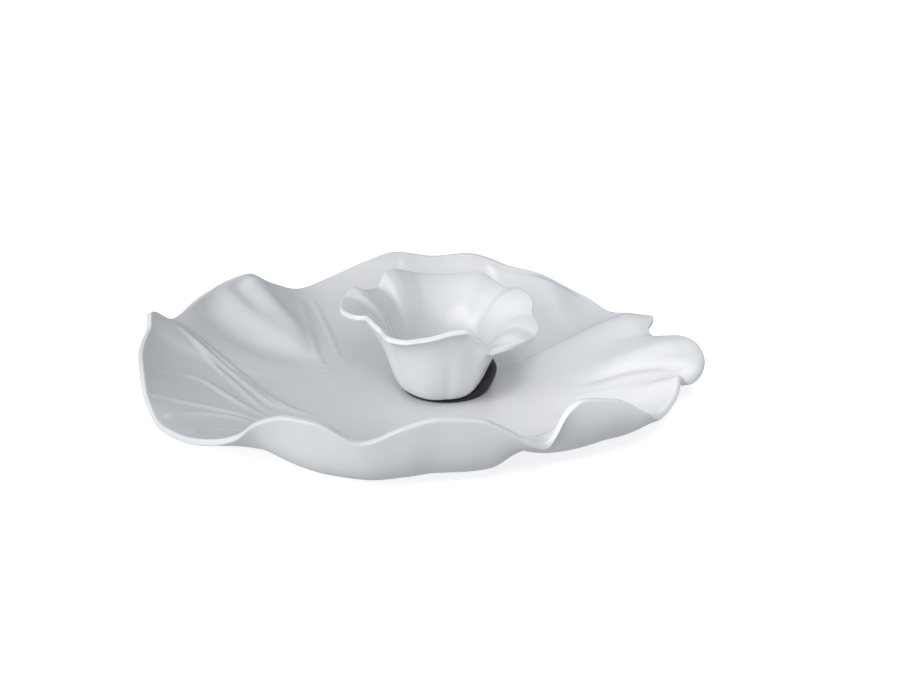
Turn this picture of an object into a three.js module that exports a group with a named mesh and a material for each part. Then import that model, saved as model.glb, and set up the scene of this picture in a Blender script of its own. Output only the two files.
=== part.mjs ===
// Chip and dip server in white moulded tableware: a wide ruffled platter, a small ruffled
// dip bowl that lifts off it, and the dark soft seat that the bowl stands in.
// Millimetres, +Z up. The origin is the middle of the platter, on the surface it stands on.
import * as THREE from 'three';

// Platter
const PLATTER_WALL = 4.8;
const PLATTER_FLOOR = 7.5;          // height of the flat inside floor
const PLATTER_ROOT = 82;            // radius where the wall leaves the flat floor
const PLATTER_FOOT_OUTER = 80;
const PLATTER_FOOT_INNER = 74;
const PLATTER_AZIMUTHS = 108;

// Dip bowl
const BOWL_X = 14;                  // the bowl stands a little off the platter's middle
const BOWL_Y = -5;
const BOWL_WALL = 4;
const BOWL_FLOOR = 13.4;
const BOWL_ROOT = 17;
const BOWL_FOOT_OUTER = 16.5;
const BOWL_FOOT_INNER = 13;
const BOWL_AZIMUTHS = 72;

// Soft seat: a low ring that fills the narrow space between the bowl's belly and the platter
const SEAT_GAP = 0.6;               // clear space between the bowl and its seat
const SEAT_RADIUS = 29.5;
const SEAT_SHIFT_X = 4;             // the seat's middle lies a little off the bowl's
const SEAT_SHIFT_Y = 8;
const SEAT_HOLE = 17.4;             // least radius of the hole that the bowl's foot stands in
const SEAT_LIP = 0.5;               // thickness of the seat at the edge of its hole
const SEAT_HIGHEST = 20;            // how far the seat reaches up the belly on its high side
const SEAT_LOWEST = 4;              // and on its low side
const SEAT_HIGH_SIDE = 64;          // azimuth of the middle of its high side
const SEAT_HIGH_SPREAD = 110;       // degrees from there to where it is lowest
const SEAT_RISE = 60;               // degrees over which it rises from its lowest to its highest
const SEAT_FLARE = 0.6;             // how far its outside leans out, for each millimetre up
const SEAT_SHOULDER = 1.5;          // least width of the rounded shoulder outside the belly
const SEAT_AZIMUTHS = 72;
const SEAT_STEPS = 10;
const SHOULDER_STEPS = 3;
const SEAT_SEARCH_END = 0.5;        // share of the bowl's wall that the seat always ends below
const SEARCH_HALVINGS = 20;

const CONTACT_GAP = 0.3;            // clear space under a piece that stands on another
const WALL_STEPS = 9;               // rows of facets up each wall
const RIM_STEPS = 3;                // facets around each rim's edge
const RIM_ROUNDNESS = 0.5;          // 1 for a half-round edge, less for a squarer one
const FOOT_TAPER = 0.6;             // how much a foot ring narrows at its bottom
const FLOOR_RING = 0.6;             // where the floor's ring of points lies, as a share of its radius
const SMOOTHING = 0.8;              // degrees of azimuth that the ruffles are eased over

// A dish's wall is a cubic curve in each azimuth's own upright plane. It leaves the floor level,
// heads for the reach point, turns up at the knee and ends at the rim.
// Rows: azimuth in degrees, rim radius, rim height, reach radius, knee radius, knee height.
const PLATTER_RUFFLES = [
  [1, 197, 29, 122, 194, 48],
  [7, 195, 31, 116, 189, 45],
  [12, 191, 30, 108, 182, 38],
  [17, 185, 25, 101, 167, 31],
  [21, 176, 22, 96, 150, 27],
  [24, 177, 24, 94, 150, 28],
  [28, 189, 27, 94, 156, 31],
  [31, 187, 25, 98, 156, 29],
  [35, 185, 22, 130, 164, 15],
  [41, 182, 18, 134, 165, 12],
  [47, 180, 23, 132, 166, 13],
  [53, 177, 29, 116, 160, 21],
  [59, 174, 35, 120, 160, 22],
  [62, 173, 36.8, 126, 162, 21],
  [68, 171.5, 37.6, 138, 166, 18],
  [73, 170.5, 42, 136, 166, 20],
  [78, 170, 45, 135, 166, 22],
  [88, 170, 42, 132, 164, 20],
  [97, 171, 45, 132, 166, 22],
  [105, 172, 39, 125, 163, 20],
  [113, 173, 31, 120, 160, 18],
  [122, 175, 25, 115, 155, 16],
  [129, 178, 33, 115, 158, 20],
  [136, 180, 45, 114, 162, 28],
  [142, 182, 44, 114, 164, 30],
  [151, 184, 38, 138, 175, 15],
  [160, 187, 34, 118, 164, 23],
  [168, 192.5, 47, 130, 180, 26],
  [172, 189.5, 40, 135, 179, 22],
  [181, 189, 37, 135, 177, 20],
  [190, 187.5, 34, 132, 175, 20],
  [199, 188.5, 26, 130, 172, 18],
  [206, 187.5, 18, 125, 168, 16],
  [215, 185, 20, 120, 164, 18],
  [225, 182, 27, 120, 160, 21],
  [232, 180, 36, 135, 160, 22],
  [237, 178, 48, 155, 163, 20],
  [244, 176, 55, 168, 166, 18],
  [250, 175, 54, 172, 167, 17],
  [259, 173, 43, 170, 165, 17],
  [268, 172, 54, 162, 164, 19],
  [275, 172, 60, 156, 162, 21],
  [283, 173, 58, 157, 163, 21],
  [288, 174, 51, 154, 162, 22],
  [294, 175, 40, 125, 152, 27],
  [298, 174, 36, 100, 142, 33],
  [299.6, 176, 46, 110, 158, 30],
  [301, 177, 54, 118, 168, 28],
  [305, 178, 60, 140, 178, 25],
  [310, 180, 57, 142, 182, 24],
  [315, 183, 52, 138, 184, 24],
  [320, 186, 41, 128, 182, 22],
  [330, 181, 29, 116, 160, 21],
  [336, 181, 31, 116, 162, 22],
  [341, 180, 34, 116, 163, 25],
  [345, 178, 36, 118, 164, 28],
  [348, 182, 30, 120, 172, 36],
  [351, 188, 25, 124, 187, 45],
  [355, 194, 26, 125, 195, 51],
];

const BOWL_RUFFLES = [
  [4, 65, 58, 33, 30.5, 69],
  [11, 63, 60, 33, 28, 64],
  [20, 66, 65, 33.5, 25.5, 62],
  [28, 67, 68, 34.5, 25.5, 64],
  [36, 66, 69, 35.5, 26, 64],
  [44, 63, 67, 36, 27, 60],
  [53, 63, 69, 36, 27, 61],
  [64, 62, 74, 36, 27, 64],
  [77, 61, 72, 36, 27, 62],
  [90, 60, 71, 36, 28, 60],
  [104, 61, 72, 36, 28, 61],
  [114, 62, 75, 36, 27, 63],
  [122, 63, 77, 36, 27, 65],
  [128, 63, 76, 36, 27, 64],
  [134, 62, 67, 36, 27, 60],
  [145, 60, 69, 36, 27.5, 60],
  [155, 59, 73, 36, 28, 61],
  [162, 61.5, 77, 36, 27.5, 64],
  [170, 65, 73, 36, 26, 64],
  [176, 66, 72, 36, 26, 64],
  [184, 66, 71, 36, 26, 63],
  [190, 63, 70, 36, 27, 61],
  [197, 58, 70, 36, 28, 58],
  [205, 52, 71, 36, 31, 56],
  [222, 53, 69, 36, 30, 56],
  [231, 51, 63, 36, 31, 53],
  [241, 50, 63, 37, 31, 52],
  [256, 48, 65, 38.5, 32, 52],
  [270, 48, 68, 37, 32, 53],
  [280, 48.5, 70.5, 35, 32.5, 55],
  [290, 49, 71, 37.5, 32.5, 55],
  [301, 50, 63.5, 38.5, 31, 53],
  [312, 50, 53, 36, 32, 48],
  [323, 55, 55, 34.5, 31, 54],
  [335, 60, 55.5, 33.5, 32, 69],
  [352, 64, 53.5, 33, 32.5, 72],
  [358, 66, 55.5, 33, 32, 72],
];

// Turns one column of ruffle rows into a smooth wave around the rim. It passes each row without
// rising above a crest or dropping below a hollow, and closes on itself.
function wave(rows, column) {
  const count = rows.length;
  const angle = (i) => rows[((i % count) + count) % count][0] + 360 * Math.floor(i / count);
  const value = (i) => rows[((i % count) + count) % count][column];
  const rise = (i) => (value(i + 1) - value(i)) / (angle(i + 1) - angle(i));
  const slope = (i) => {
    const before = rise(i - 1);
    const after = rise(i);
    return before * after > 0 ? (2 * before * after) / (before + after) : 0;
  };
  const at = (degrees) => {
    const turned = ((((degrees - rows[0][0]) % 360) + 360) % 360) + rows[0][0];
    let i = 0;
    while (i < count - 1 && angle(i + 1) <= turned) i += 1;
    const span = angle(i + 1) - angle(i);
    const s = (turned - angle(i)) / span;
    const ease = s * s * (3 - 2 * s);
    const bend = s * (1 - s) * ((1 - s) * slope(i) - s * slope(i + 1)) * span;
    return value(i) + (value(i + 1) - value(i)) * ease + bend;
  };
  return (degrees) => (at(degrees - SMOOTHING) + 2 * at(degrees) + at(degrees + SMOOTHING)) / 4;
}

// The wall's inside face in one azimuth's plane: a point and its outward unit normal at each
// share t of the way from the floor to the rim. The normal points away from the wall's inside.
function wallCurve(waves, root, floor, degrees) {
  const [rimRadius, rimHeight, reach, kneeRadius, kneeHeight] = waves.map((w) => w(degrees));
  const curve = new THREE.CubicBezierCurve(
    new THREE.Vector2(root, floor),
    new THREE.Vector2(reach, floor),
    new THREE.Vector2(kneeRadius, kneeHeight),
    new THREE.Vector2(rimRadius, rimHeight),
  );
  return (t) => {
    const along = curve.getTangent(t);
    return { point: curve.getPoint(t), along, outward: new THREE.Vector2(along.y, -along.x) };
  };
}

function columnWaves(rows) {
  return [1, 2, 3, 4, 5].map((column) => wave(rows, column));
}

// One azimuth's section of a dish, from the middle of the floor over the rim to the middle of
// the underside, as points of radius and height.
function dishSection(dish, degrees) {
  const wall = wallCurve(dish.waves, dish.root, dish.floor, degrees);
  const under = dish.floor - dish.wall;
  const section = [new THREE.Vector2(dish.root * FLOOR_RING, dish.floor)];
  for (let i = 0; i <= WALL_STEPS; i += 1) {
    section.push(wall(i / WALL_STEPS).point);
  }
  const rim = wall(1);
  const half = dish.wall / 2;
  for (let i = 1; i < RIM_STEPS; i += 1) {
    const turn = (Math.PI * i) / RIM_STEPS;
    const across = Math.sign(Math.cos(turn)) * Math.abs(Math.cos(turn)) ** RIM_ROUNDNESS;
    const out = half - half * across;
    const past = half * Math.sin(turn) ** RIM_ROUNDNESS;
    section.push(rim.point.clone().addScaledVector(rim.outward, out).addScaledVector(rim.along, past));
  }
  for (let i = WALL_STEPS; i >= 0; i -= 1) {
    const { point, outward } = wall(i / WALL_STEPS);
    section.push(point.clone().addScaledVector(outward, dish.wall));
  }
  section.push(new THREE.Vector2(dish.footOuter, under));
  section.push(new THREE.Vector2(dish.footOuter - FOOT_TAPER, dish.footBottom));
  section.push(new THREE.Vector2(dish.footInner + FOOT_TAPER, dish.footBottom));
  section.push(new THREE.Vector2(dish.footInner, under));
  return section;
}

// Joins sections around the Z axis into one closed body. Each section is a list of radius and
// height. Open sections are closed on the axis at the two given heights.
function sweepAround(sections, ends) {
  const turns = sections.length;
  const rings = sections[0].length;
  const positions = [];
  const faces = [];
  sections.forEach((section, j) => {
    const turn = (2 * Math.PI * j) / turns;
    section.forEach(({ x, y }) => positions.push(x * Math.cos(turn), x * Math.sin(turn), y));
  });
  const corner = (j, i) => (j % turns) * rings + (i % rings);
  const bands = ends ? rings - 1 : rings;
  for (let j = 0; j < turns; j += 1) {
    for (let i = 0; i < bands; i += 1) {
      faces.push(corner(j, i), corner(j, i + 1), corner(j + 1, i + 1));
      faces.push(corner(j, i), corner(j + 1, i + 1), corner(j + 1, i));
    }
  }
  if (ends) {
    const first = turns * rings;
    positions.push(0, 0, ends[0], 0, 0, ends[1]);
    for (let j = 0; j < turns; j += 1) {
      faces.push(first, corner(j, 0), corner(j + 1, 0));
      faces.push(first + 1, corner(j + 1, rings - 1), corner(j, rings - 1));
    }
  }
  const geometry = new THREE.BufferGeometry();
  geometry.setAttribute('position', new THREE.Float32BufferAttribute(positions, 3));
  geometry.setIndex(faces);
  geometry.computeVertexNormals();
  return geometry;
}

function azimuths(count) {
  return Array.from({ length: count }, (_, j) => (360 * j) / count);
}

function dishGeometry(dish) {
  const sections = azimuths(dish.azimuths).map((degrees) => dishSection(dish, degrees));
  return sweepAround(sections, [dish.floor, dish.floor - dish.wall]);
}

// The last share of the wall curve, before a limit, at which a test of the face offset from the
// curve by a distance still holds.
function lastShare(wall, distance, holds) {
  let low = 0;
  let high = SEAT_SEARCH_END;
  for (let i = 0; i < SEARCH_HALVINGS; i += 1) {
    const middle = (low + high) / 2;
    const { point, outward } = wall(middle);
    if (holds(point.addScaledVector(outward, distance))) low = middle;
    else high = middle;
  }
  return low;
}

// How far the seat may reach up the belly at one of the bowl's azimuths.
function seatReach(degrees) {
  const away = Math.abs(((degrees - SEAT_HIGH_SIDE + 540) % 360) - 180);
  const share = THREE.MathUtils.smoothstep(SEAT_HIGH_SPREAD - away, 0, SEAT_RISE);
  return THREE.MathUtils.lerp(SEAT_LOWEST, SEAT_HIGHEST, share);
}

// The seat's section in one of the bowl's azimuths: up along the bowl's belly, and down over a
// rounded shoulder and a leaning outside to a flat base.
function seatSection(bowl, degrees) {
  const wall = wallCurve(bowl.waves, bowl.root, bowl.floor, degrees);
  const turn = THREE.MathUtils.degToRad(degrees);
  const along = SEAT_SHIFT_X * Math.cos(turn) + SEAT_SHIFT_Y * Math.sin(turn);
  const across = SEAT_SHIFT_X * Math.sin(turn) - SEAT_SHIFT_Y * Math.cos(turn);
  const outside = along + Math.sqrt(SEAT_RADIUS ** 2 - across ** 2);
  const base = PLATTER_FLOOR + CONTACT_GAP;
  const outsideAt = (height) => outside + SEAT_FLARE * (height - base);
  const clear = bowl.wall + SEAT_GAP;
  const start = lastShare(wall, clear, (face) => face.x < SEAT_HOLE || face.y < base + SEAT_LIP);
  const end = lastShare(wall, clear, (face) => (
    face.x < outsideAt(face.y) - SEAT_SHOULDER && face.y < base + seatReach(degrees)
  ));
  const section = [];
  for (let i = 0; i <= SEAT_STEPS; i += 1) {
    const { point, outward } = wall(THREE.MathUtils.lerp(start, end, i / SEAT_STEPS));
    section.push(point.clone().addScaledVector(outward, clear));
  }
  section.unshift(new THREE.Vector2(section[0].x, base));
  const top = section[section.length - 1];
  for (let i = 1; i <= SHOULDER_STEPS; i += 1) {
    const turn = (Math.PI * i) / (2 * SHOULDER_STEPS);
    const height = base + (top.y - base) * Math.cos(turn);
    const radius = top.x + (outsideAt(height) - top.x) * Math.sin(turn);
    section.push(new THREE.Vector2(radius, height));
  }
  return section;
}

function namedMesh(name, geometry, finish) {
  const mesh = new THREE.Mesh(geometry, new THREE.MeshStandardMaterial(finish));
  mesh.name = name;
  return mesh;
}

const platter = {
  waves: columnWaves(PLATTER_RUFFLES),
  root: PLATTER_ROOT,
  floor: PLATTER_FLOOR,
  wall: PLATTER_WALL,
  footOuter: PLATTER_FOOT_OUTER,
  footInner: PLATTER_FOOT_INNER,
  footBottom: 0,
  azimuths: PLATTER_AZIMUTHS,
};

const bowl = {
  waves: columnWaves(BOWL_RUFFLES),
  root: BOWL_ROOT,
  floor: BOWL_FLOOR,
  wall: BOWL_WALL,
  footOuter: BOWL_FOOT_OUTER,
  footInner: BOWL_FOOT_INNER,
  footBottom: PLATTER_FLOOR + CONTACT_GAP,
  azimuths: BOWL_AZIMUTHS,
};

const glaze = { color: 0xf4f5f6, roughness: 0.22, metalness: 0 };
const softRubber = { color: 0x26272a, roughness: 0.6, metalness: 0 };

const server = new THREE.Group();
server.add(namedMesh('platter', dishGeometry(platter), glaze));

const bowlPlace = new THREE.Group();
bowlPlace.position.set(BOWL_X, BOWL_Y, 0);
bowlPlace.add(namedMesh('dip_bowl', dishGeometry(bowl), glaze));
const seatSections = azimuths(SEAT_AZIMUTHS).map((degrees) => seatSection(bowl, degrees));
bowlPlace.add(namedMesh('bowl_seat', sweepAround(seatSections, null), softRubber));
server.add(bowlPlace);

export default server;
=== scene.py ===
"""The chip and dip server's looks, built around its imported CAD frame.

The platter and the bowl are swept again with far finer facets from the same ruffle rows as the
CAD solids, with the veins and soft folds of the petals raised on them. Lengths are in
millimetres until a mesh is made, and in metres after that.
"""
import math

import bpy
import numpy as np
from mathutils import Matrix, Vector


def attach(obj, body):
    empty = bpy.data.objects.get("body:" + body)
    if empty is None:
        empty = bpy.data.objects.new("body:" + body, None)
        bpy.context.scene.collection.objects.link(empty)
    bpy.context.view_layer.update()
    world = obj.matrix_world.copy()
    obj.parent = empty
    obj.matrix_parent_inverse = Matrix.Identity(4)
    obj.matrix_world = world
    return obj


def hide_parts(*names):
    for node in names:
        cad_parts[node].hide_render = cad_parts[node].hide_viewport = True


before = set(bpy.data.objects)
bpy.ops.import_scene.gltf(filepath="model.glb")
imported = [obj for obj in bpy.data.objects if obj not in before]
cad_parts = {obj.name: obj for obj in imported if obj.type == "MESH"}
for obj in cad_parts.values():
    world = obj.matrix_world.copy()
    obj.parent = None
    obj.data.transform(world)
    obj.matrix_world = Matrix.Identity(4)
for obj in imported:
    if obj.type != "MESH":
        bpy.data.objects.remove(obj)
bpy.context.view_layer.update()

MM = 0.001

# Platter and dip bowl, as in the CAD model
PLATTER_WALL = 4.8
PLATTER_FLOOR = 7.5
PLATTER_ROOT = 82
PLATTER_FOOT = (80, 74)
BOWL_CENTRE = (14, -5)
BOWL_WALL = 4
BOWL_FLOOR = 13.4
BOWL_ROOT = 17
BOWL_FOOT = (16.5, 13)
CONTACT_GAP = 0.3
SMOOTHING = 0.8
RIM_ROUNDNESS = 0.5

# How far each side of a foot ring leans in above its edge, how far in its flat bottom starts, and
# the most height that its rounded edge has
FOOT_TAPER = 0.2
FOOT_CORNER = 0.6
FOOT_ROUNDING = 0.8

# Rings of points from a dish's middle outwards: on its floor, up its wall and round its rim's edge
PLATTER_RINGS = (14, 64, 11)
BOWL_RINGS = (6, 60, 11)

# Degrees between a dish's sections, most of the way round and where its veins are, and the
# azimuths that the veins lie between
PLATTER_STEPS = (0.7, 0.45)
PLATTER_VEINED = (120, 250)
BOWL_STEPS = (1, 0.5)
BOWL_VEINED = (130, 220)

# Shares of the wall over which folds and veins die out below the rim and above the foot, and
# shares of a route over which each starts and ends
RIM_FADE = 0.05
ROOT_FADE = 0.1
START_FADE = 0.16
END_FADE = 0.35

# Near-black seat, as in the CAD model: a dark piece that stands in for the shadow under the bowl's
# belly, a painted shadow
SEAT_GAP = 0.6
SEAT_RADIUS = 29.5
SEAT_SHIFT = (4, 8)
SEAT_HOLE = 17.4
SEAT_LIP = 0.5
SEAT_HIGHEST = 20
SEAT_LOWEST = 4
SEAT_HIGH_SIDE = 64
SEAT_HIGH_SPREAD = 110
SEAT_RISE = 60
SEAT_FLARE = 0.6
SEAT_SHOULDER = 1.5

# Degrees between the seat's sections, points on each side of its top, and how much of the bowl's
# wall is searched for the seat's top, in how many steps
SEAT_STEP = 1.5
SEAT_POINTS = 10
SEAT_SEARCH_END = 0.5
SEAT_SEARCH_STEPS = 2000

# Camera: metres for its target and distance, degrees for its elevation, millimetres for its lens
# and sensor
CAMERA_TARGET = (0.0283, 0, 0.036)
CAMERA_ELEVATION = 22
CAMERA_DISTANCE = 1.502
CAMERA_LENS = 85
CAMERA_SENSOR = 36

# Studio: metres for the floor, the rest are shader values
WORLD_COLOUR = (0.93, 0.96, 1, 1)
WORLD_STRENGTH = 0.51
STUDIO_SIZE = 8
STUDIO_DROP = 0.0002
STUDIO_GLOW = 0.55

# Fill lights: name, place, aim, side of the square in metres, watts, and beam in degrees
FILL_LIGHTS = [
    ("right_front", (0.15, -0.6, 0.5), (0.16, 0, 0.02), 0.3, 0.126, 28),
    ("right_top", (0.22, -0.35, 0.7), (0.15, -0.04, 0.03), 0.2, 0.045, 20),
    ("left_back", (-0.12, -0.5, 0.6), (-0.135, 0.085, 0.03), 0.2, 0.013, 12),
]

# Range that a noise texture's values are taken from when they are spread over another range
NOISE_RANGE = (0.3, 0.7)

# Rows: azimuth in degrees, rim radius, rim height, reach radius, knee radius, knee height. Most rim
# positions were first worked out from the photograph's outline by a scratch camera solve, then
# rounded and moved by eye. The reach and the knee were set one by one.
PLATTER_RUFFLES = np.array([
    [1, 197, 29, 122, 194, 48],
    [7, 195, 31, 116, 189, 45],
    [12, 191, 30, 108, 182, 38],
    [17, 185, 25, 101, 167, 31],
    [21, 176, 22, 96, 150, 27],
    [24, 177, 24, 94, 150, 28],
    [28, 189, 27, 94, 156, 31],
    [31, 187, 25, 98, 156, 29],
    [35, 185, 22, 130, 164, 15],
    [41, 182, 18, 134, 165, 12],
    [47, 180, 23, 132, 166, 13],
    [53, 177, 29, 116, 160, 21],
    [59, 174, 35, 120, 160, 22],
    [62, 173, 36.8, 126, 162, 21],
    [68, 171.5, 37.6, 138, 166, 18],
    [73, 170.5, 42, 136, 166, 20],
    [78, 170, 45, 135, 166, 22],
    [88, 170, 42, 132, 164, 20],
    [97, 171, 45, 132, 166, 22],
    [105, 172, 39, 125, 163, 20],
    [113, 173, 31, 120, 160, 18],
    [122, 175, 25, 115, 155, 16],
    [129, 178, 33, 115, 158, 20],
    [136, 180, 45, 114, 162, 28],
    [142, 182, 44, 114, 164, 30],
    [151, 184, 38, 138, 175, 15],
    [160, 187, 34, 118, 164, 23],
    [168, 192.5, 47, 130, 180, 26],
    [172, 189.5, 40, 135, 179, 22],
    [181, 189, 37, 135, 177, 20],
    [190, 187.5, 34, 132, 175, 20],
    [199, 188.5, 26, 130, 172, 18],
    [206, 187.5, 18, 125, 168, 16],
    [215, 185, 20, 120, 164, 18],
    [225, 182, 27, 120, 160, 21],
    [232, 180, 36, 135, 160, 22],
    [237, 178, 48, 155, 163, 20],
    [244, 176, 55, 168, 166, 18],
    [250, 175, 54, 172, 167, 17],
    [259, 173, 43, 170, 165, 17],
    [268, 172, 54, 162, 164, 19],
    [275, 172, 60, 156, 162, 21],
    [283, 173, 58, 157, 163, 21],
    [288, 174, 51, 154, 162, 22],
    [294, 175, 40, 125, 152, 27],
    [298, 174, 36, 100, 142, 33],
    [299.6, 176, 46, 110, 158, 30],
    [301, 177, 54, 118, 168, 28],
    [305, 178, 60, 140, 178, 25],
    [310, 180, 57, 142, 182, 24],
    [315, 183, 52, 138, 184, 24],
    [320, 186, 41, 128, 182, 22],
    [330, 181, 29, 116, 160, 21],
    [336, 181, 31, 116, 162, 22],
    [341, 180, 34, 116, 163, 25],
    [345, 178, 36, 118, 164, 28],
    [348, 182, 30, 120, 172, 36],
    [351, 188, 25, 124, 187, 45],
    [355, 194, 26, 125, 195, 51],
], float)
BOWL_RUFFLES = np.array([
    [4, 65, 58, 33, 30.5, 69],
    [11, 63, 60, 33, 28, 64],
    [20, 66, 65, 33.5, 25.5, 62],
    [28, 67, 68, 34.5, 25.5, 64],
    [36, 66, 69, 35.5, 26, 64],
    [44, 63, 67, 36, 27, 60],
    [53, 63, 69, 36, 27, 61],
    [64, 62, 74, 36, 27, 64],
    [77, 61, 72, 36, 27, 62],
    [90, 60, 71, 36, 28, 60],
    [104, 61, 72, 36, 28, 61],
    [114, 62, 75, 36, 27, 63],
    [122, 63, 77, 36, 27, 65],
    [128, 63, 76, 36, 27, 64],
    [134, 62, 67, 36, 27, 60],
    [145, 60, 69, 36, 27.5, 60],
    [155, 59, 73, 36, 28, 61],
    [162, 61.5, 77, 36, 27.5, 64],
    [170, 65, 73, 36, 26, 64],
    [176, 66, 72, 36, 26, 64],
    [184, 66, 71, 36, 26, 63],
    [190, 63, 70, 36, 27, 61],
    [197, 58, 70, 36, 28, 58],
    [205, 52, 71, 36, 31, 56],
    [222, 53, 69, 36, 30, 56],
    [231, 51, 63, 36, 31, 53],
    [241, 50, 63, 37, 31, 52],
    [256, 48, 65, 38.5, 32, 52],
    [270, 48, 68, 37, 32, 53],
    [280, 48.5, 70.5, 35, 32.5, 55],
    [290, 49, 71, 37.5, 32.5, 55],
    [301, 50, 63.5, 38.5, 31, 53],
    [312, 50, 53, 36, 32, 48],
    [323, 55, 55, 34.5, 31, 54],
    [335, 60, 55.5, 33.5, 32, 69],
    [352, 64, 53.5, 33, 32.5, 72],
    [358, 66, 55.5, 33, 32, 72],
], float)

# What is raised on a dish's wall, row by row: the route in plan from the rim inwards, the height,
# and the half-widths to the left and to the right of the route. A negative height is a crease.
# Folds bend the whole wall, and veins stand on its inside face only. Most routes follow points of
# the photograph that a scratch script laid onto the CAD model, rounded to a millimetre.
PLATTER_FOLDS = [
    ([(-131, 128), (-121, 124), (-109, 112), (-98, 98), (-88, 76), (-80, 52)], 3.0, 5, 9),
    ([(-143, 118), (-134, 112), (-124, 104), (-114, 92)], -1.6, 5, 5),
    ([(160, 96), (139, 87), (117, 73), (96, 58), (76, 47), (58, 36)], 4.0, 16, 4),
    ([(-18, 182), (-14, 168), (-9, 150), (-4, 132)], 1.4, 10, 3),
    ([(52, 172), (58, 158), (69, 144), (78, 124)], 1.8, 12, 3.5),
    ([(86, 158), (94, 148), (99, 136), (105, 120), (110, 98)], 4.5, 9, 6),
    ([(182, -26), (167, -14), (147, -2), (127, -1), (104, -4)], -2.0, 5, 5),
    ([(180, 24), (160, 22), (138, 18), (118, 14)], 1.2, 12, 12),
]
PLATTER_VEINS = [
    ([(-181, 57), (-156, 37), (-130, 12), (-107, -22), (-86, -44)], 2.2, 1.6, 1.0),
    ([(-176, 60), (-154, 42), (-127, 16), (-104, -18), (-84, -40), (-66, -49)], 1.8, 1.4, 0.9),
    ([(-163, 42), (-152, 30), (-132, 4), (-113, -27), (-98, -48)], 1.7, 1.2, 0.9),
    ([(-190, -24), (-164, -8), (-149, -8), (-135, -21), (-117, -39), (-98, -58)], 2.0, 1.2, 0.9),
    ([(-180, -59), (-165, -52), (-139, -50), (-118, -54), (-100, -64)], 1.9, 1.3, 0.9),
    ([(-168, -76), (-158, -67), (-141, -60), (-123, -60), (-104, -70)], 1.8, 1.3, 0.9),
    ([(-150, -104), (-138, -94), (-120, -88), (-100, -84)], 1.5, 1.4, 1.0),
    ([(-92, 140), (-86, 110), (-78, 70), (-64, 18), (-51, -18)], 0.7, 1.8, 1.8),
    ([(-84, 141), (-75, 117), (-66, 85), (-54, 33)], 0.7, 1.6, 1.6),
]

BOWL_VEINS = [
    ([(-58, 14), (-46, 12), (-34, 8), (-24, 4)], 0.9, 1.4, 1.4),
    ([(-54, 20), (-42, 17), (-30, 12), (-22, 8)], 0.7, 1.2, 1.2),
    ([(-50, 4), (-40, 4), (-30, 2), (-22, 0)], 0.7, 1.2, 1.2),
    ([(-44, -10), (-36, -8), (-27, -6), (-20, -4)], 0.5, 1.1, 1.1),
]


def wave(rows, column, degrees):
    """One column of ruffle rows as a smooth wave around the rim, at the given azimuths."""
    angle = np.append(rows[:, 0], rows[0, 0] + 360)
    value = np.append(rows[:, column], rows[0, column])
    span = np.diff(angle)
    rise = np.diff(value) / span
    before = np.roll(rise, 1)
    same_way = before * rise > 0
    slope = np.where(same_way, 2 * before * rise / np.where(same_way, before + rise, 1), 0)
    slope = np.append(slope, slope[0])

    def at(turned):
        turned = (turned - angle[0]) % 360 + angle[0]
        i = np.clip(np.searchsorted(angle, turned, side="right") - 1, 0, len(span) - 1)
        s = (turned - angle[i]) / span[i]
        ease = s * s * (3 - 2 * s)
        bend = s * (1 - s) * ((1 - s) * slope[i] - s * slope[i + 1]) * span[i]
        return value[i] + (value[i + 1] - value[i]) * ease + bend

    return (at(degrees - SMOOTHING) + 2 * at(degrees) + at(degrees + SMOOTHING)) / 4


def wall_curve(rows, root, floor, degrees, shares):
    """A dish wall's inside face: points, directions and outward normals in each azimuth's plane,
    as arrays of azimuth, share of the way up, and (radius, height)."""
    rim_radius, rim_height, reach, knee_radius, knee_height = (
        wave(rows, column, degrees) for column in range(1, 6)
    )
    level = np.full_like(degrees, floor)
    p0 = np.stack([np.full_like(degrees, root), level], 1)[:, None]
    p1 = np.stack([reach, level], 1)[:, None]
    p2 = np.stack([knee_radius, knee_height], 1)[:, None]
    p3 = np.stack([rim_radius, rim_height], 1)[:, None]
    t = shares[None, :, None]
    u = 1 - t
    point = u**3 * p0 + 3 * u * u * t * p1 + 3 * u * t * t * p2 + t**3 * p3
    along = u * u * (p1 - p0) + 2 * u * t * (p2 - p1) + t * t * (p3 - p2)
    along = along / np.linalg.norm(along, axis=2, keepdims=True)
    outward = np.stack([along[..., 1], -along[..., 0]], 2)
    return point, along, outward


def smooth_route(points, steps=6):
    """A smooth line through a route's points."""
    p = np.array([points[0], *points, points[-1]], float)
    line = []
    for a, b, c, d in zip(p[:-3], p[1:-2], p[2:-1], p[3:]):
        for s in np.arange(steps) / steps:
            line.append(0.5 * (2 * b + (c - a) * s + (2 * a - 5 * b + 4 * c - d) * s**2
                               + (3 * b - a - 3 * c + d) * s**3))
    line.append(p[-2])
    return np.array(line)


def eased(share):
    """A share from 0 to 1 that starts and ends gently."""
    share = np.clip(share, 0, 1)
    return share * share * (3 - 2 * share)


def relief(features, x, y):
    """How far folds or veins raise a dish's wall at plan positions x, y."""
    raised = np.zeros_like(x)
    for route, height, left_width, right_width in features:
        line = smooth_route(route)
        nearest = np.full_like(x, np.inf)
        place = np.zeros_like(x)
        width = np.ones_like(x)
        for i, (start, end) in enumerate(zip(line[:-1], line[1:])):
            step = end - start
            s = ((x - start[0]) * step[0] + (y - start[1]) * step[1]) / (step @ step)
            s = np.clip(s, 0, 1)
            away_x = x - start[0] - s * step[0]
            away_y = y - start[1] - s * step[1]
            away = np.hypot(away_x, away_y)
            closer = away < nearest
            nearest = np.where(closer, away, nearest)
            place = np.where(closer, (i + s) / (len(line) - 1), place)
            to_left = step[0] * away_y - step[1] * away_x > 0
            width = np.where(closer, np.where(to_left, left_width, right_width), width)
        fade = eased(place / START_FADE) * eased((1 - place) / END_FADE)
        raised += height * fade * np.exp(-0.5 * (nearest / width) ** 2)
    return raised


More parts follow.
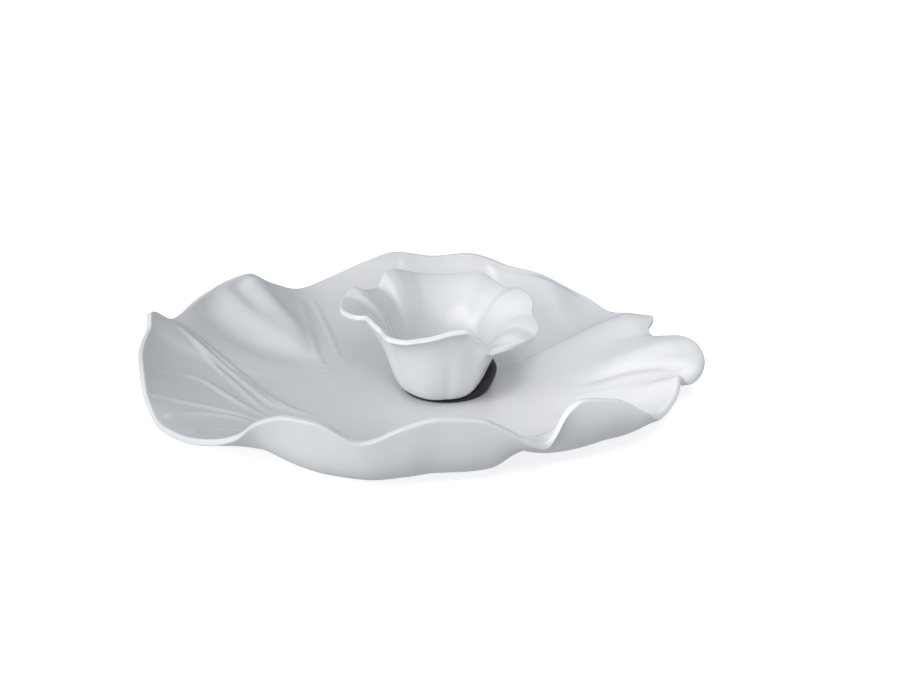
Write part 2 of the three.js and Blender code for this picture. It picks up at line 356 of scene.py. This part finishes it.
def plan(radius, degrees):
    """Plan positions of points at a radius in each azimuth's plane."""
    turn = np.radians(degrees)[:, None]
    return radius * np.cos(turn), radius * np.sin(turn)


def dish_sections(rows, root, floor, wall, foot, foot_bottom, folds, veins, degrees, rings):
    """A dish's sections, from the middle of its floor over the rim to the middle below."""
    floor_rings, wall_rings, rim_rings = rings
    shares = np.linspace(0, 1, wall_rings)
    point, along, outward = wall_curve(rows, root, floor, degrees, shares)
    count = len(degrees)

    def level_ring(radius, height):
        return np.broadcast_to(np.array([radius, height], float), (count, 2))

    inside = [level_ring(root * i / floor_rings, floor) for i in range(1, floor_rings)]
    inside = np.concatenate([np.stack(inside, 1), point], 1)
    lift = relief(folds + veins, *plan(inside[..., 0], degrees))
    up = np.concatenate([np.zeros((count, floor_rings - 1, 2)), -outward], 1)
    up[:, :floor_rings - 1, 1] = 1
    from_rim = np.clip((1 - shares) / RIM_FADE, 0, 1)
    near_rim = np.concatenate([np.ones(floor_rings - 1), from_rim])
    inside = inside + up * (lift * near_rim)[..., None]
    bend = relief(folds, *plan(point[..., 0], degrees)) * from_rim * np.clip(shares / ROOT_FADE, 0, 1)

    turns = np.pi * np.arange(1, rim_rings) / rim_rings
    across = wall / 2 * (1 - np.sign(np.cos(turns)) * np.abs(np.cos(turns)) ** RIM_ROUNDNESS)
    past = wall / 2 * np.sin(turns) ** RIM_ROUNDNESS
    edge = [
        point[:, -1] + outward[:, -1] * out + along[:, -1] * beyond
        for out, beyond in zip(across, past)
    ]
    under = (point + outward * (wall - bend[..., None]))[:, ::-1]
    below = floor - wall
    rounding = min(FOOT_ROUNDING, (below - foot_bottom) / 2)
    foot_line = [
        (foot[0], below),
        (foot[0] - FOOT_TAPER, foot_bottom + rounding),
        (foot[0] - FOOT_CORNER, foot_bottom),
        (foot[1] + FOOT_CORNER, foot_bottom),
        (foot[1] + FOOT_TAPER, foot_bottom + rounding),
        (foot[1], below),
    ]
    feet = [level_ring(*corner) for corner in foot_line]
    return np.concatenate([inside, np.stack(edge, 1), under, np.stack(feet, 1)], 1)


def sweep(name, sections, degrees, centre, ends=None):
    """A closed mesh through sections of (radius, height) at the given azimuths, in metres.
    Sections that don't close on themselves are closed on the axis at the two end heights."""
    turns, rings = sections.shape[:2]
    x, y = plan(sections[..., 0], degrees)
    corners = np.stack([x + centre[0], y + centre[1], sections[..., 1]], 2).reshape(-1, 3)
    j, i = np.meshgrid(np.arange(turns), np.arange(rings - 1 if ends else rings), indexing="ij")
    after = (j + 1) % turns
    above = (i + 1) % rings
    quads = np.stack([j * rings + i, j * rings + above, after * rings + above, after * rings + i], 2)
    faces = [tuple(q) for q in quads.reshape(-1, 4).tolist()]
    if ends:
        first = len(corners)
        corners = np.concatenate([corners, [[*centre, ends[0]], [*centre, ends[1]]]])
        for k in range(turns):
            after_k = (k + 1) % turns
            faces.append((first, k * rings, after_k * rings))
            faces.append((first + 1, after_k * rings + rings - 1, k * rings + rings - 1))
    mesh = bpy.data.meshes.new(name)
    mesh.from_pydata((corners * MM).tolist(), [], faces)
    mesh.shade_smooth()
    piece = bpy.data.objects.new(name, mesh)
    bpy.context.scene.collection.objects.link(piece)
    return piece


def azimuth_steps(steps, veined):
    """Azimuths around a dish, closer together where it is veined."""
    coarse, fine = steps
    fine_from, fine_to = veined
    before = np.arange(0, fine_from, coarse)
    between = np.arange(fine_from, fine_to, fine)
    after = np.arange(fine_to, 360, coarse)
    return np.concatenate([before, between, after])


def make_platter():
    degrees = azimuth_steps(PLATTER_STEPS, PLATTER_VEINED)
    sections = dish_sections(PLATTER_RUFFLES, PLATTER_ROOT, PLATTER_FLOOR, PLATTER_WALL,
                             PLATTER_FOOT, 0, PLATTER_FOLDS, PLATTER_VEINS, degrees,
                             PLATTER_RINGS)
    ends = (PLATTER_FLOOR, PLATTER_FLOOR - PLATTER_WALL)
    return sweep("platter_fine", sections, degrees, (0, 0), ends)


def make_bowl():
    degrees = azimuth_steps(BOWL_STEPS, BOWL_VEINED)
    sections = dish_sections(BOWL_RUFFLES, BOWL_ROOT, BOWL_FLOOR, BOWL_WALL, BOWL_FOOT,
                             PLATTER_FLOOR + CONTACT_GAP, [], BOWL_VEINS, degrees, BOWL_RINGS)
    ends = (BOWL_FLOOR, BOWL_FLOOR - BOWL_WALL)
    return sweep("dip_bowl_fine", sections, degrees, BOWL_CENTRE, ends)


def make_shadow_seat():
    """The ring that fills the space under the bowl's belly: up along the belly, and down over a
    rounded shoulder and a leaning outside to its flat base. Being near black, it is a painted shadow
    under the belly."""
    degrees = np.arange(0, 360, SEAT_STEP)
    turn = np.radians(degrees)
    along = SEAT_SHIFT[0] * np.cos(turn) + SEAT_SHIFT[1] * np.sin(turn)
    across = SEAT_SHIFT[0] * np.sin(turn) - SEAT_SHIFT[1] * np.cos(turn)
    outside = along + np.sqrt(SEAT_RADIUS**2 - across**2)
    shares = np.linspace(0, SEAT_SEARCH_END, SEAT_SEARCH_STEPS)
    point, _, outward = wall_curve(BOWL_RUFFLES, BOWL_ROOT, BOWL_FLOOR, degrees, shares)
    belly = point + outward * (BOWL_WALL + SEAT_GAP)
    base = PLATTER_FLOOR + CONTACT_GAP
    away = np.abs((degrees - SEAT_HIGH_SIDE + 180) % 360 - 180)
    high = eased((SEAT_HIGH_SPREAD - away) / SEAT_RISE)
    reach = SEAT_LOWEST + (SEAT_HIGHEST - SEAT_LOWEST) * high
    sections = []
    for face, foot_radius, highest in zip(belly, outside, base + reach):
        free = face[:, 0] < foot_radius + SEAT_FLARE * (face[:, 1] - base) - SEAT_SHOULDER
        free &= (face[:, 0] >= SEAT_HOLE) & (face[:, 1] >= base + SEAT_LIP)
        free &= face[:, 1] < highest
        up = face[free][np.linspace(0, free.sum() - 1, SEAT_POINTS).astype(int)]
        top_radius, top_height = up[-1]
        shoulder = []
        for a in np.linspace(0, math.pi / 2, SEAT_POINTS)[1:]:
            height = base + (top_height - base) * math.cos(a)
            out = foot_radius + SEAT_FLARE * (height - base) - top_radius
            shoulder.append((top_radius + out * math.sin(a), height))
        sections.append([(up[0, 0], base), *up.tolist(), *shoulder])
    return sweep("bowl_shadow_seat_fine", np.array(sections), degrees, BOWL_CENTRE)


def new_material(name):
    material = bpy.data.materials.new(name)
    material.use_nodes = True
    nodes = material.node_tree.nodes
    return material, nodes, material.node_tree.links, nodes["Principled BSDF"]


def noise(nodes, links, scale, detail):
    """A noise texture in the object's own space."""
    place = nodes.new("ShaderNodeTexCoord")
    texture = nodes.new("ShaderNodeTexNoise")
    texture.inputs["Scale"].default_value = scale
    texture.inputs["Detail"].default_value = detail
    links.new(place.outputs["Object"], texture.inputs["Vector"])
    return texture


def spread(nodes, links, source, low, high):
    """Noise spread over a range of values."""
    ramp = nodes.new("ShaderNodeMapRange")
    ramp.inputs["From Min"].default_value = NOISE_RANGE[0]
    ramp.inputs["From Max"].default_value = NOISE_RANGE[1]
    ramp.inputs["To Min"].default_value = low
    ramp.inputs["To Max"].default_value = high
    links.new(source, ramp.inputs["Value"])
    return ramp.outputs["Result"]


def tinted(nodes, links, source, dark, pale):
    """Noise spread from a dark colour to a pale one, each given with its place in the noise."""
    tint = nodes.new("ShaderNodeValToRGB")
    for element, (position, colour) in zip(tint.color_ramp.elements, (dark, pale)):
        element.position = position
        element.color = (*colour, 1)
    links.new(source, tint.inputs["Fac"])
    return tint.outputs["Color"]


def bumped(nodes, links, source, strength, distance):
    """A surface normal roughened by noise, over a distance in metres."""
    bump = nodes.new("ShaderNodeBump")
    bump.inputs["Strength"].default_value = strength
    bump.inputs["Distance"].default_value = distance
    links.new(source, bump.inputs["Height"])
    return bump.outputs["Normal"]


def glossy_white():
    """Gloss white moulded tableware: the faintest clouding, and an uneven polish."""
    material, nodes, links, shader = new_material("glossy_white")
    clouds = noise(nodes, links, 9, 2)
    dark = (0.3, (0.700, 0.708, 0.722))
    pale = (0.7, (0.715, 0.722, 0.734))
    clouding = tinted(nodes, links, clouds.outputs["Fac"], dark, pale)
    links.new(clouding, shader.inputs["Base Color"])
    polish = noise(nodes, links, 16, 2)
    links.new(spread(nodes, links, polish.outputs["Fac"], 0.2, 0.26), shader.inputs["Roughness"])
    shader.inputs["IOR"].default_value = 1.45
    shader.inputs["Coat Weight"].default_value = 0.08
    shader.inputs["Coat Roughness"].default_value = 0.05
    waviness = noise(nodes, links, 30, 1)
    wavy = bumped(nodes, links, waviness.outputs["Fac"], 0.1, 0.0004)
    links.new(wavy, shader.inputs["Normal"])
    return material


def soft_seat():
    """Near-black matt colour that paints the shadow under the bowl onto the seat, with a fine moulded
    grain and a little dust-pale mottling.
    """
    material, nodes, links, shader = new_material("soft_seat")
    mottle = noise(nodes, links, 120, 4)
    # Near-black tones: painted shadow under the bowl's belly
    dark = (0.35, (0.012, 0.012, 0.013))
    pale = (0.7, (0.022, 0.022, 0.024))
    mottling = tinted(nodes, links, mottle.outputs["Fac"], dark, pale)
    links.new(mottling, shader.inputs["Base Color"])
    grain = noise(nodes, links, 1800, 2)
    links.new(spread(nodes, links, grain.outputs["Fac"], 0.5, 0.68), shader.inputs["Roughness"])
    grainy = bumped(nodes, links, grain.outputs["Fac"], 0.3, 0.0002)
    links.new(grainy, shader.inputs["Normal"])
    return material


def pale_floor():
    """A white studio floor, lit from within a little so that it stays near white."""
    material, nodes, links, shader = new_material("pale_floor")
    shader.inputs["Base Color"].default_value = (0.9, 0.9, 0.9, 1)
    shader.inputs["Roughness"].default_value = 0.9
    shader.inputs["Specular IOR Level"].default_value = 0
    shader.inputs["Emission Color"].default_value = (1, 1, 1, 1)
    shader.inputs["Emission Strength"].default_value = STUDIO_GLOW
    bpy.ops.mesh.primitive_plane_add(size=STUDIO_SIZE, location=(0, 0, -STUDIO_DROP))
    floor = bpy.context.object
    floor.name = "studio_floor"
    floor.data.materials.append(material)
    floor.visible_diffuse = False
    floor.visible_glossy = False


def place_camera():
    """At the photograph's viewing angle, above the platter and with a long lens."""
    target = Vector(CAMERA_TARGET)
    elevation = math.radians(CAMERA_ELEVATION)
    back = Vector((0, -math.cos(elevation), math.sin(elevation)))
    camera = bpy.data.objects.new("camera", bpy.data.cameras.new("camera"))
    camera.data.lens = CAMERA_LENS
    camera.data.sensor_width = CAMERA_SENSOR
    camera.location = target + back * CAMERA_DISTANCE
    camera.rotation_euler = (math.pi / 2 - elevation, 0, 0)
    bpy.context.scene.collection.objects.link(camera)
    bpy.context.scene.camera = camera


def softbox(name, location, aim, width, height, power, spread=180, reflected=True):
    """A rectangular soft light that faces a point, in metres and watts, with its beam's spread in
    degrees. One that isn't reflected lights the glaze without showing in it."""
    data = bpy.data.lights.new(name, "AREA")
    data.shape = "RECTANGLE"
    data.size = width
    data.size_y = height
    data.energy = power
    data.spread = math.radians(spread)
    light = bpy.data.objects.new(name, data)
    light.visible_glossy = reflected
    light.location = location
    light.rotation_euler = (Vector(aim) - Vector(location)).to_track_quat("-Z", "Y").to_euler()
    bpy.context.scene.collection.objects.link(light)


def light_studio():
    """Soft light from all round, a large low softbox at the front left, and three small ones with
    narrow beams that lift the right-hand petals and the back left one."""
    world = bpy.data.worlds.new("studio")
    world.use_nodes = True
    world.node_tree.nodes["Background"].inputs["Color"].default_value = WORLD_COLOUR
    world.node_tree.nodes["Background"].inputs["Strength"].default_value = WORLD_STRENGTH
    bpy.context.scene.world = world
    softbox("key", (-0.94, -0.79, 0.46), (0, 0, 0.02), 1.0, 0.8, 11.2)
    for name, location, aim, side, power, beam in FILL_LIGHTS:
        softbox(name, location, aim, side, side, power, beam, reflected=False)
    bpy.context.scene.view_settings.view_transform = "Standard"


def finish_piece(piece, body, node, material):
    piece.data.materials.append(material)
    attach(piece, body)
    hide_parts(node)


place_camera()
light_studio()
pale_floor()
white = glossy_white()
finish_piece(make_platter(), "platter", "platter", white)
finish_piece(make_bowl(), "bowl", "dip_bowl", white)
# The seat is near black to stand in for the shadow under the bowl: painted shadow
finish_piece(make_shadow_seat(), "seat", "bowl_seat", soft_seat())
